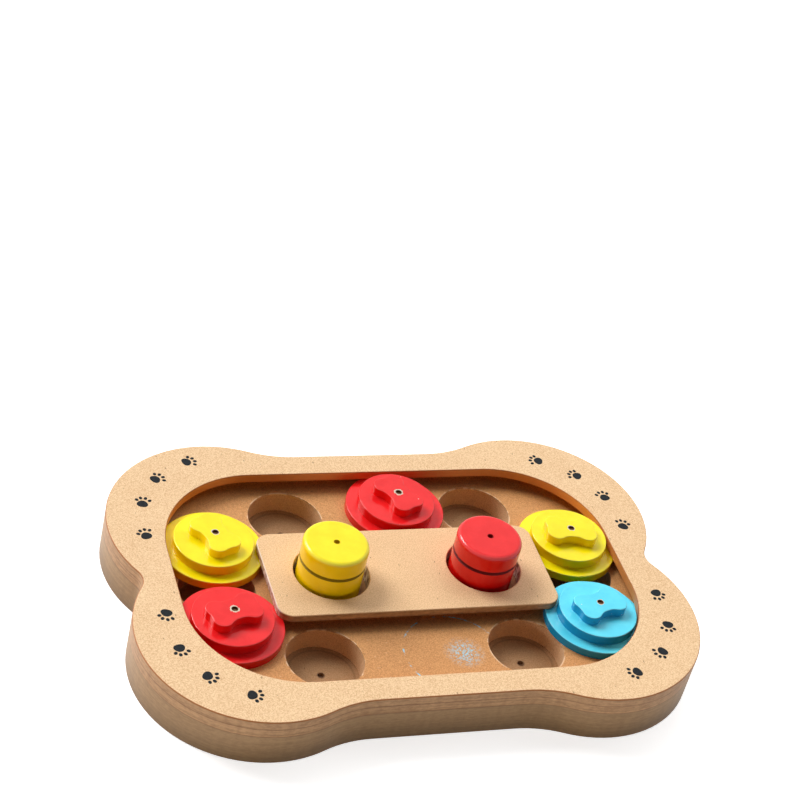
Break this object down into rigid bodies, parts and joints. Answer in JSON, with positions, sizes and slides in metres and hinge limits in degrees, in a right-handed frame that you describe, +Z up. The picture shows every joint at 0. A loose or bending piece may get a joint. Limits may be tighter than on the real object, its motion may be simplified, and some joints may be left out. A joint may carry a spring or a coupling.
{
  "type": "dog puzzle feeder board",
  "caption": "Bone-shaped fibreboard puzzle feeder with a rounded loop track, captive sliding discs with bone grips, treat cups and lift-out pegs.",
  "frame": {"origin": "middle of the underside of the board, on the surface that it stands on", "axes": "+X along the board, +Y across it towards the far side, +Z up"},
  "size_m": [0.3, 0.202, 0.048],
  "materials": {
    "mdf": "satin",
    "paint_red": "satin paint",
    "paint_yellow": "satin paint",
    "paint_blue": "satin paint",
    "dowel": "raw"
  },
  "bodies": {
    "board": {"base_board": "mdf", "spacer_ring": "mdf", "lip_frame": "mdf", "island": "mdf", "bar": "mdf"},
    "red_far": {"red_far_flange": "paint_red", "red_far_disc": "paint_red", "red_far_knob": "paint_red", "red_far_pin": "dowel"},
    "yellow_left": {"yellow_left_flange": "paint_yellow", "yellow_left_disc": "paint_yellow", "yellow_left_knob": "paint_yellow", "yellow_left_pin": "dowel"},
    "red_left": {"red_left_flange": "paint_red", "red_left_disc": "paint_red", "red_left_knob": "paint_red", "red_left_pin": "dowel"},
    "blue_right": {"blue_right_flange": "paint_blue", "blue_right_disc": "paint_blue", "blue_right_knob": "paint_blue", "blue_right_pin": "dowel"},
    "yellow_right": {"yellow_right_flange": "paint_yellow", "yellow_right_disc": "paint_yellow", "yellow_right_knob": "paint_yellow", "yellow_right_pin": "dowel"},
    "yellow_peg": {"yellow_peg": "paint_yellow"},
    "red_peg": {"red_peg": "paint_red"}
  },
  "joints": [
    {"name": "red_far_slide", "type": "slide", "parent": "board", "child": "red_far", "axis": [1, 0, 0], "range_m": [-0.04, 0.029]},
    {"name": "yellow_left_round", "type": "hinge", "parent": "board", "child": "yellow_left", "pos_m": [-0.067, 0.021, 0.018], "axis": [0, 0, 1], "range_deg": [-38, 0]},
    {"name": "red_left_round", "type": "hinge", "parent": "board", "child": "red_left", "pos_m": [-0.067, -0.021, 0.018], "axis": [0, 0, 1], "range_deg": [0, 76]},
    {"name": "blue_right_round", "type": "hinge", "parent": "board", "child": "blue_right", "pos_m": [0.067, -0.021, 0.018], "axis": [0, 0, 1], "range_deg": [-61, 0]},
    {"name": "yellow_right_round", "type": "hinge", "parent": "board", "child": "yellow_right", "pos_m": [0.067, 0.021, 0.018], "axis": [0, 0, 1], "range_deg": [0, 34]},
    {"name": "yellow_peg_lift", "type": "slide", "parent": "board", "child": "yellow_peg", "axis": [0, 0, 1], "range_m": [0, 0.05]},
    {"name": "red_peg_lift", "type": "slide", "parent": "board", "child": "red_peg", "axis": [0, 0, 1], "range_m": [0, 0.05]}
  ]
}
